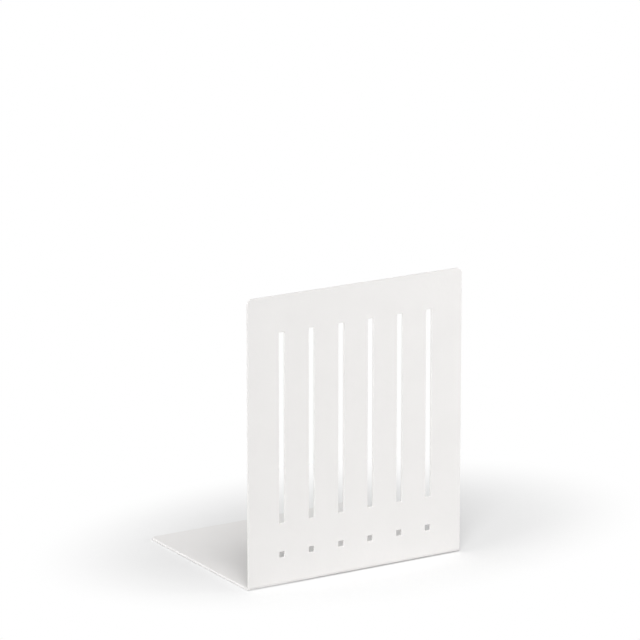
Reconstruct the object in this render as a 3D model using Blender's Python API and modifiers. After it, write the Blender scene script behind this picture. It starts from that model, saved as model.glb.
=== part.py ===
"""Bookend folded from one perforated steel sheet, on four thin non-slip pads.

The upright is at the front, facing -Y, and the base runs back from it under the books, towards +Y.
X is across the width and Z is up. The origin is on the shelf, below the middle of the footprint.
All sizes are in metres.
"""

import math

import bmesh
import bpy
from mathutils import Vector

# Overall sizes, pads included
WIDTH = 0.127
DEPTH = 0.1016
HEIGHT = 0.1524

# The sheet, its one fold and its outer corners
SHEET = 0.0012
FOLD_RADIUS = 0.0008
FOLD_ANGLE = math.radians(90)
NEUTRAL_AXIS_SHARE = 0.42
FOLD_STEPS = 14
TOP_CORNER_RADIUS = 0.003
REAR_CORNER_RADIUS = 0.003
CORNER_STEPS = 10

# The small rounding that the powder coat leaves along every cut edge
ARRIS = 0.0002
ARRIS_STEPS = 2

# Perforation of the upright: a row of slots with a square hole below each. Heights count from the shelf
COLUMNS = 6
COLUMN_SIDE_MARGIN = 0.0198
SLOT_WIDTH = 0.0033
SLOT_TOP_MARGIN = 0.0193
SLOT_FOOT_HEIGHT = 0.0332
SQUARE_SIDE = 0.0032
SQUARE_HEIGHT = 0.0165
PUNCH_CORNER_RADIUS = 0.00025
PUNCH_CORNER_STEPS = 3

# Round non-slip pads, stuck to the underside of the base by a film of adhesive
PAD_DIAMETER = 0.012
PAD_THICKNESS = 0.0002
PAD_EDGE = 0.00005
PAD_EDGE_STEPS = 2
PAD_SIDES = 48
ADHESIVE_FILM = 0.0001
PAD_SIDE_MARGIN = 0.008
PAD_FRONT_MARGIN = 0.008
PAD_REAR_MARGIN = 0.008

# Points closer than this are one point
WELD_DISTANCE = 0.000001

# Faces that meet at less than this angle look like one surface
SMOOTH_ANGLE = math.radians(35)
QUARTER_TURN = math.radians(90)

# Sizes that follow from those above
UNDERSIDE = PAD_THICKNESS + ADHESIVE_FILM
FOLD_SETBACK = FOLD_RADIUS + SHEET
FOLD_ALLOWANCE = FOLD_ANGLE * (FOLD_RADIUS + NEUTRAL_AXIS_SHARE * SHEET)
FOLD_START = FOLD_SETBACK - DEPTH / 2
FOLD_END = FOLD_START - FOLD_ALLOWANCE
BLANK_REAR = DEPTH / 2
BLANK_TOP = FOLD_END - (HEIGHT - UNDERSIDE - FOLD_SETBACK)


def clear_scene():
    for item in list(bpy.data.objects):
        bpy.data.objects.remove(item, do_unlink=True)


def make_material(name, colour, roughness):
    material = bpy.data.materials.new(name)
    material.use_nodes = True
    shader = material.node_tree.nodes["Principled BSDF"]
    shader.inputs["Base Color"].default_value = (*colour, 1)
    shader.inputs["Roughness"].default_value = roughness
    shader.inputs["Metallic"].default_value = 0
    material.diffuse_color = (*colour, 1)
    return material


def corner(centre_x, centre_y, radius, quarter, steps):
    """A quarter circle of points, counterclockwise. Quarter 0 starts at +X, quarter 1 at +Y, and so on."""
    points = []
    for step in range(steps + 1):
        angle = QUARTER_TURN * (quarter + step / steps)
        points.append((centre_x + radius * math.cos(angle), centre_y + radius * math.sin(angle)))
    return points


def blank_outline():
    """The sheet before it is folded: the base's rear edge at +Y, and the upright's top edge at -Y."""
    rear_x = WIDTH / 2 - REAR_CORNER_RADIUS
    rear_y = BLANK_REAR - REAR_CORNER_RADIUS
    top_x = WIDTH / 2 - TOP_CORNER_RADIUS
    top_y = BLANK_TOP + TOP_CORNER_RADIUS
    return [
        *corner(rear_x, rear_y, REAR_CORNER_RADIUS, 0, CORNER_STEPS),
        *corner(-rear_x, rear_y, REAR_CORNER_RADIUS, 1, CORNER_STEPS),
        *corner(-top_x, top_y, TOP_CORNER_RADIUS, 2, CORNER_STEPS),
        *corner(top_x, top_y, TOP_CORNER_RADIUS, 3, CORNER_STEPS),
    ]


def blank_line(height):
    """The blank's Y for what stands at this height above the shelf once the upright is folded up."""
    return BLANK_TOP + HEIGHT - height


def opening(centre_x, width, foot_height, head_height):
    """A rectangular hole through the upright, between two heights above the shelf."""
    radius = PUNCH_CORNER_RADIUS
    half = width / 2 - radius
    foot = blank_line(foot_height) - radius
    head = blank_line(head_height) + radius
    return [
        *corner(centre_x + half, foot, radius, 0, PUNCH_CORNER_STEPS),
        *corner(centre_x - half, foot, radius, 1, PUNCH_CORNER_STEPS),
        *corner(centre_x - half, head, radius, 2, PUNCH_CORNER_STEPS),
        *corner(centre_x + half, head, radius, 3, PUNCH_CORNER_STEPS),
    ]


def perforation():
    """Each column's slot and the square hole below it."""
    pitch = (WIDTH - 2 * COLUMN_SIDE_MARGIN) / (COLUMNS - 1)
    slot_head = HEIGHT - SLOT_TOP_MARGIN
    square_foot = SQUARE_HEIGHT - SQUARE_SIDE / 2
    square_head = SQUARE_HEIGHT + SQUARE_SIDE / 2
    openings = []
    for column in range(COLUMNS):
        x = COLUMN_SIDE_MARGIN - WIDTH / 2 + pitch * column
        openings.append(opening(x, SLOT_WIDTH, SLOT_FOOT_HEIGHT, slot_head))
        openings.append(opening(x, SQUARE_SIDE, square_foot, square_head))
    return openings


def flat_blank(name, collection):
    """The pierced blank as a mesh with rounded arrises, lying where the base lies."""
    curve = bpy.data.curves.new(name, "CURVE")
    curve.dimensions = "2D"
    curve.fill_mode = "BOTH"
    curve.extrude = SHEET / 2 - ARRIS
    curve.bevel_depth = ARRIS
    curve.bevel_resolution = ARRIS_STEPS
    curve.offset = -ARRIS
    for points in (blank_outline(), *perforation()):
        spline = curve.splines.new("POLY")
        spline.points.add(len(points) - 1)
        for point, (x, y) in zip(spline.points, points):
            point.co = (x, y, 0, 1)
        spline.use_cyclic_u = True
    drawing = bpy.data.objects.new(name + "_drawing", curve)
    drawing.location.z = UNDERSIDE + SHEET / 2
    collection.objects.link(drawing)
    bpy.context.view_layer.update()

    evaluated = drawing.evaluated_get(bpy.context.evaluated_depsgraph_get())
    mesh = bpy.data.meshes.new_from_object(evaluated)
    mesh.name = name
    blank = bpy.data.objects.new(name, mesh)
    blank.matrix_world = drawing.matrix_world
    collection.objects.link(blank)
    bpy.data.objects.remove(drawing, do_unlink=True)
    return blank


def score_fold(shape):
    """Cuts the blank's faces across at even steps through the fold, so that they can curve there."""
    for step in range(FOLD_STEPS + 1):
        line = FOLD_START - FOLD_ALLOWANCE * step / FOLD_STEPS
        bmesh.ops.bisect_plane(
            shape,
            geom=shape.verts[:] + shape.edges[:] + shape.faces[:],
            dist=WELD_DISTANCE,
            plane_co=Vector((0, line, 0)),
            plane_no=Vector((0, 1, 0)),
        )


def folded(point):
    """Where a point of the blank goes when the upright is folded up. Z counts from the sheet's middle."""
    past_start = FOLD_START - point.y
    if past_start <= 0:
        return point.copy()
    angle = FOLD_ANGLE * min(past_start / FOLD_ALLOWANCE, 1)
    straight = max(past_start - FOLD_ALLOWANCE, 0)
    centre_z = FOLD_RADIUS + SHEET / 2
    radius = centre_z - point.z
    y = FOLD_START - radius * math.sin(angle) - straight * math.cos(angle)
    z = centre_z - radius * math.cos(angle) + straight * math.sin(angle)
    return Vector((point.x, y, z))


def make_sheet(collection, material):
    """The upright, the fold and the base: one blank, folded by formula about the inner radius."""
    sheet = flat_blank("bent_sheet", collection)
    shape = bmesh.new()
    shape.from_mesh(sheet.data)
    bmesh.ops.remove_doubles(shape, verts=shape.verts, dist=WELD_DISTANCE)
    score_fold(shape)
    for vertex in shape.verts:
        vertex.co = folded(vertex.co)
    bmesh.ops.recalc_face_normals(shape, faces=shape.faces)
    shape.to_mesh(sheet.data)
    shape.free()

    sheet.data.materials.clear()
    sheet.data.materials.append(material)
    sheet.data.shade_smooth()
    sheet.data.set_sharp_from_angle(angle=SMOOTH_ANGLE)
    flats = sheet.modifiers.new("flats stay flat", "WEIGHTED_NORMAL")
    flats.keep_sharp = True
    return sheet


def pad_mesh(material):
    """A die-cut disc, about its own middle."""
    shape = bmesh.new()
    bmesh.ops.create_cone(
        shape,
        cap_ends=True,
        segments=PAD_SIDES,
        radius1=PAD_DIAMETER / 2,
        radius2=PAD_DIAMETER / 2,
        depth=PAD_THICKNESS,
    )
    mesh = bpy.data.meshes.new("pad")
    shape.to_mesh(mesh)
    shape.free()
    mesh.shade_smooth()
    mesh.set_sharp_from_angle(angle=SMOOTH_ANGLE)
    mesh.materials.append(material)
    return mesh


def make_pads(collection, material):
    """One pad near each corner of the base. They share one mesh."""
    mesh = pad_mesh(material)
    radius = PAD_DIAMETER / 2
    across = WIDTH / 2 - PAD_SIDE_MARGIN - radius
    rows = {
        "front": PAD_FRONT_MARGIN + radius - DEPTH / 2,
        "rear": DEPTH / 2 - PAD_REAR_MARGIN - radius,
    }
    pads = []
    for row, y in rows.items():
        for side, x in (("left", -across), ("right", across)):
            pad = bpy.data.objects.new(f"pad_{row}_{side}", mesh)
            pad.location = (x, y, PAD_THICKNESS / 2)
            collection.objects.link(pad)
            edge = pad.modifiers.new("edge", "BEVEL")
            edge.width = PAD_EDGE
            edge.segments = PAD_EDGE_STEPS
            edge.limit_method = "ANGLE"
            pads.append(pad)
    return pads


def main():
    clear_scene()
    collection = bpy.data.collections.new("bookend")
    bpy.context.scene.collection.children.link(collection)
    coat = make_material("white powder coat", (0.84, 0.84, 0.84), 0.42)
    rubber = make_material("dark grey rubber", (0.06, 0.06, 0.062), 0.85)

    bookend = bpy.data.objects.new("bookend", None)
    collection.objects.link(bookend)
    sheet = make_sheet(collection, coat)
    pads = make_pads(collection, rubber)
    for piece in (sheet, *pads):
        piece.parent = bookend


main()
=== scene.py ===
"""Looks of the folded sheet bookend: powder coat, non-slip pads, a white floor and soft studio light.

Lengths are in metres. X is across the width, the upright stands at -Y and the base runs back to +Y.
"""

import math

import bmesh
import bpy
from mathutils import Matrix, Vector


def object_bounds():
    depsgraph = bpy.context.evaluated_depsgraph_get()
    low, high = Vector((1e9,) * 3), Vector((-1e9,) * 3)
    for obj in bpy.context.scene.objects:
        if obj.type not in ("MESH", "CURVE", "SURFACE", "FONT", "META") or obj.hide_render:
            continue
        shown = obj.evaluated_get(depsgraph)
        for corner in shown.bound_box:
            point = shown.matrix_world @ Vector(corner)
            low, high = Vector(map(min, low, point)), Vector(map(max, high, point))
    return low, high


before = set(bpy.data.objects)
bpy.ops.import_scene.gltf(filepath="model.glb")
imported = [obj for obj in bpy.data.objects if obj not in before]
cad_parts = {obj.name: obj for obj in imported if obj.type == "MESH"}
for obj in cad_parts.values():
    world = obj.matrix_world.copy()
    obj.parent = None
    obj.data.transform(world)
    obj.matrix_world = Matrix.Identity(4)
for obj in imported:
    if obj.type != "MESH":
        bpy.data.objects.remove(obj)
cad_low, cad_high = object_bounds()

MILLIMETRE = 0.001
WHITE = (1, 1, 1, 1)

# The photograph's camera, about a point on the upright's front face
CAMERA_AZIMUTH = math.radians(-31.278)
CAMERA_ELEVATION = math.radians(14.903)
CAMERA_DISTANCE = 2.2467
CAMERA_LENS_MM = 251.75
CAMERA_SENSOR_MM = 36.0
CAMERA_NEAREST = 0.05
CAMERA_FURTHEST = 30
AIM_ASIDE = -0.02133
AIM_HEIGHT = 0.13636

# White powder coat. A size is that of the noise's lumps, and a depth that of its bumps
PEEL_SIZE = 1.6 * MILLIMETRE
PEEL_DETAIL = 1.0
PEEL_DEPTH = 0.05 * MILLIMETRE
GRAIN_SIZE = 0.35 * MILLIMETRE
GRAIN_DETAIL = 2.0
GRAIN_DEPTH = 0.02 * MILLIMETRE
PATCH_SIZE = 18 * MILLIMETRE
PATCH_DETAIL = 3.0
COAT_DARKEST = (0.8165, 0.803, 0.792, 1)
COAT_LIGHTEST = (0.8515, 0.838, 0.827, 1)
COAT_SMOOTHEST = 0.34
COAT_ROUGHEST = 0.40
GRAIN_ROUGHNESS = 0.04

# Closed-cell rubber
CELL_SIZE = 0.35 * MILLIMETRE
CELL_DETAIL = 2.0
CELL_DEPTH = 0.05 * MILLIMETRE
RUBBER_DARKEST = (0.035, 0.035, 0.037, 1)
RUBBER_LIGHTEST = (0.085, 0.085, 0.088, 1)
RUBBER_ROUGHNESS = 0.85

# Noise stays mostly between these
NOISE_LOW = 0.25
NOISE_HIGH = 0.75

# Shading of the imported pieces. With the greatest weight, the larger faces decide how an edge shades
WELD_DISTANCE = 0.001 * MILLIMETRE
FACE_AREA_WEIGHT = 100

# The floor shows the object's shadow in an oval pool, where plain white is mixed in. The white's share is
# small in the pool's middle, grows from the start of the fade on, and is the whole at the pool's edge
FLOOR_RADIUS = 4.0
FLOOR_SIDES = 96
FLOOR_COLOUR = (0.9, 0.9, 0.9, 1)
FLOOR_ROUGHNESS = 0.9
FLOOR_SPECULAR = 0.1
POOL_CENTRE = (0.03, 0.01, 0)
POOL_REACH = (0.18, 0.12, 1)
POOL_FADE_START = 0.45
POOL_WHITE_SHARE = 0.15

# The world's strength as a light, and where it is seen
WORLD_LIGHT = 0.16
WORLD_WHITE = 1.0

# Round soft lights, each aimed at a point above the footprint's middle
SOFT_LIGHTS = {
    "key": {"place": (-0.88, -1.86, 3.48), "aim_height": 0.05, "width": 1.8, "watts": 103},
    "left fill": {"place": (-1.95, -0.40, 0.27), "aim_height": 0.05, "width": 0.4, "watts": 9},
    "right fill": {"place": (0.83, -0.52, 0.26), "aim_height": 0.05, "width": 0.3, "watts": 3.4},
    "rear fill": {"place": (-1.3, 1.39, 0.3), "aim_height": 0.08, "width": 0.8, "watts": 13},
}


def empty_tree(owner):
    """The node tree of a material or of the world, with no node in it yet."""
    owner.use_nodes = True
    owner.node_tree.nodes.clear()
    return owner.node_tree


def add_node(tree, kind, **settings):
    node = tree.nodes.new(kind)
    for name, value in settings.items():
        setattr(node, name, value)
    return node


def noise(tree, coordinates, size, detail):
    """Noise whose lumps are about this size across."""
    node = add_node(tree, "ShaderNodeTexNoise")
    node.inputs["Scale"].default_value = 1 / size
    node.inputs["Detail"].default_value = detail
    tree.links.new(coordinates, node.inputs["Vector"])
    return node.outputs["Fac"]


def spread(tree, value, low, high):
    """The noise's usual range, spread to run from low to high."""
    node = add_node(tree, "ShaderNodeMapRange")
    node.inputs["From Min"].default_value = NOISE_LOW
    node.inputs["From Max"].default_value = NOISE_HIGH
    node.inputs["To Min"].default_value = low
    node.inputs["To Max"].default_value = high
    tree.links.new(value, node.inputs["Value"])
    return node.outputs["Result"]


def tint(tree, value, darkest, lightest):
    """A colour between these two, by the noise."""
    node = add_node(tree, "ShaderNodeMix", data_type="RGBA")
    node.inputs["A"].default_value = darkest
    node.inputs["B"].default_value = lightest
    tree.links.new(value, node.inputs["Factor"])
    return node.outputs["Result"]


def bump(tree, height, depth, normal=None):
    """Bumps of this depth, on top of the ones that the normal already has."""
    node = add_node(tree, "ShaderNodeBump")
    node.inputs["Distance"].default_value = depth
    tree.links.new(height, node.inputs["Height"])
    if normal is not None:
        tree.links.new(normal, node.inputs["Normal"])
    return node.outputs["Normal"]


def mixed(tree, share, first, second):
    """The first shader with this share of the second."""
    mix = add_node(tree, "ShaderNodeMixShader")
    tree.links.new(share, mix.inputs["Fac"])
    tree.links.new(first, mix.inputs[1])
    tree.links.new(second, mix.inputs[2])
    return mix.outputs["Shader"]


def show(tree, surface, kind="ShaderNodeOutputMaterial"):
    """Makes this shader the look of the material or the world."""
    output = add_node(tree, kind)
    tree.links.new(surface, output.inputs["Surface"])


def seen_background(tree):
    """1 where the floor or world is seen, also in gloss or through glass, and 0 where it only lights."""
    path = add_node(tree, "ShaderNodeLightPath")
    seen = path.outputs["Is Camera Ray"]
    for ray in ("Is Glossy Ray", "Is Transmission Ray"):
        either = add_node(tree, "ShaderNodeMath", operation="MAXIMUM")
        tree.links.new(seen, either.inputs[0])
        tree.links.new(path.outputs[ray], either.inputs[1])
        seen = either.outputs["Value"]
    return seen


def powder_coat():
    """Satin white powder coat: a faint orange peel, a finer grain, and slightly uneven gloss and tone."""
    material = bpy.data.materials.new("white_powder_coat")
    tree = empty_tree(material)
    place = add_node(tree, "ShaderNodeTexCoord").outputs["Object"]
    peel = noise(tree, place, PEEL_SIZE, PEEL_DETAIL)
    grain = noise(tree, place, GRAIN_SIZE, GRAIN_DETAIL)
    patches = noise(tree, place, PATCH_SIZE, PATCH_DETAIL)

    gloss = add_node(tree, "ShaderNodeMath", operation="ADD")
    tree.links.new(spread(tree, patches, COAT_SMOOTHEST, COAT_ROUGHEST), gloss.inputs[0])
    tree.links.new(spread(tree, grain, -GRAIN_ROUGHNESS, GRAIN_ROUGHNESS), gloss.inputs[1])

    shader = add_node(tree, "ShaderNodeBsdfPrincipled")
    tree.links.new(tint(tree, patches, COAT_DARKEST, COAT_LIGHTEST), shader.inputs["Base Color"])
    tree.links.new(gloss.outputs["Value"], shader.inputs["Roughness"])
    wavy = bump(tree, peel, PEEL_DEPTH)
    tree.links.new(bump(tree, grain, GRAIN_DEPTH, wavy), shader.inputs["Normal"])
    show(tree, shader.outputs["BSDF"])
    return material


def pad_rubber():
    """Matt closed-cell rubber."""
    material = bpy.data.materials.new("pad_rubber")
    tree = empty_tree(material)
    place = add_node(tree, "ShaderNodeTexCoord").outputs["Object"]
    cells = noise(tree, place, CELL_SIZE, CELL_DETAIL)
    shader = add_node(tree, "ShaderNodeBsdfPrincipled")
    shader.inputs["Roughness"].default_value = RUBBER_ROUGHNESS
    tree.links.new(tint(tree, cells, RUBBER_DARKEST, RUBBER_LIGHTEST), shader.inputs["Base Color"])
    tree.links.new(bump(tree, cells, CELL_DEPTH), shader.inputs["Normal"])
    show(tree, shader.outputs["BSDF"])
    return material


def finish_node(node, material):
    """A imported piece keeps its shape. Its faces join up and shade as flats with round arrises."""
    node.data.materials.clear()
    node.data.materials.append(material)
    node.data.normals_split_custom_set([(0, 0, 0)] * len(node.data.loops))
    node.data.shade_smooth()
    weld = node.modifiers.new("joined", "WELD")
    weld.merge_threshold = WELD_DISTANCE
    flats = node.modifiers.new("flats stay flat", "WEIGHTED_NORMAL")
    flats.mode = "FACE_AREA"
    flats.weight = FACE_AREA_WEIGHT


def sweep_material():
    """White floor that keeps the object's shadow near it and goes to plain white further out."""
    material = bpy.data.materials.new("white_sweep")
    tree = empty_tree(material)
    place = add_node(tree, "ShaderNodeTexCoord").outputs["Object"]
    shader = add_node(tree, "ShaderNodeBsdfPrincipled")
    shader.inputs["Base Color"].default_value = FLOOR_COLOUR
    shader.inputs["Roughness"].default_value = FLOOR_ROUGHNESS
    shader.inputs["Specular IOR Level"].default_value = FLOOR_SPECULAR

    pool = add_node(tree, "ShaderNodeMapping", vector_type="TEXTURE")
    pool.inputs["Location"].default_value = POOL_CENTRE
    pool.inputs["Scale"].default_value = POOL_REACH
    tree.links.new(place, pool.inputs["Vector"])
    reach = add_node(tree, "ShaderNodeVectorMath", operation="LENGTH")
    tree.links.new(pool.outputs["Vector"], reach.inputs[0])
    fade = add_node(tree, "ShaderNodeMapRange", interpolation_type="SMOOTHSTEP")
    fade.inputs["From Min"].default_value = POOL_FADE_START
    fade.inputs["To Min"].default_value = POOL_WHITE_SHARE
    tree.links.new(reach.outputs["Value"], fade.inputs["Value"])

    share = add_node(tree, "ShaderNodeMath", operation="MULTIPLY")
    tree.links.new(fade.outputs["Result"], share.inputs[0])
    tree.links.new(seen_background(tree), share.inputs[1])
    white = add_node(tree, "ShaderNodeEmission")
    white.inputs["Color"].default_value = WHITE
    show(tree, mixed(tree, share.outputs["Value"], shader.outputs["BSDF"], white.outputs["Emission"]))
    return material


def make_floor():
    mesh = bpy.data.meshes.new("floor")
    shape = bmesh.new()
    bmesh.ops.create_circle(shape, cap_ends=True, segments=FLOOR_SIDES, radius=FLOOR_RADIUS)
    shape.to_mesh(mesh)
    shape.free()
    mesh.materials.append(sweep_material())
    floor = bpy.data.objects.new("floor", mesh)
    bpy.context.scene.collection.objects.link(floor)


def white_background(tree, strength):
    node = add_node(tree, "ShaderNodeBackground")
    node.inputs["Color"].default_value = WHITE
    node.inputs["Strength"].default_value = strength
    return node.outputs["Background"]


def make_world():
    """White all round. It is plain white to the camera and in reflections, and softer as a light."""
    world = bpy.data.worlds.new("studio")
    bpy.context.scene.world = world
    tree = empty_tree(world)
    light = white_background(tree, WORLD_LIGHT)
    white = white_background(tree, WORLD_WHITE)
    show(tree, mixed(tree, seen_background(tree), light, white), "ShaderNodeOutputWorld")


def soft_light(name, place, aim_height, width, watts):
    lamp = bpy.data.lights.new(name, "AREA")
    lamp.shape = "DISK"
    lamp.size = width
    lamp.energy = watts
    holder = bpy.data.objects.new(name, lamp)
    holder.location = place
    towards = Vector((0, 0, aim_height)) - Vector(place)
    holder.rotation_euler = towards.to_track_quat("-Z", "Y").to_euler()
    bpy.context.scene.collection.objects.link(holder)


def make_camera():
    camera = bpy.data.cameras.new("camera")
    camera.lens = CAMERA_LENS_MM
    camera.sensor_width = CAMERA_SENSOR_MM
    camera.clip_start = CAMERA_NEAREST
    camera.clip_end = CAMERA_FURTHEST
    level = math.cos(CAMERA_ELEVATION)
    back = Vector((
        math.sin(CAMERA_AZIMUTH) * level,
        -math.cos(CAMERA_AZIMUTH) * level,
        math.sin(CAMERA_ELEVATION),
    ))
    holder = bpy.data.objects.new("camera", camera)
    holder.location = Vector((AIM_ASIDE, cad_low.y, AIM_HEIGHT)) + back * CAMERA_DISTANCE
    holder.rotation_euler = (-back).to_track_quat("-Z", "Y").to_euler()
    bpy.context.scene.collection.objects.link(holder)
    bpy.context.scene.camera = holder


coat = powder_coat()
rubber = pad_rubber()
for name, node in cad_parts.items():
    finish_node(node, coat if name == "bent_sheet" else rubber)

make_floor()
make_world()
for name, light in SOFT_LIGHTS.items():
    soft_light(name, **light)
make_camera()
bpy.context.scene.view_settings.view_transform = "Standard"
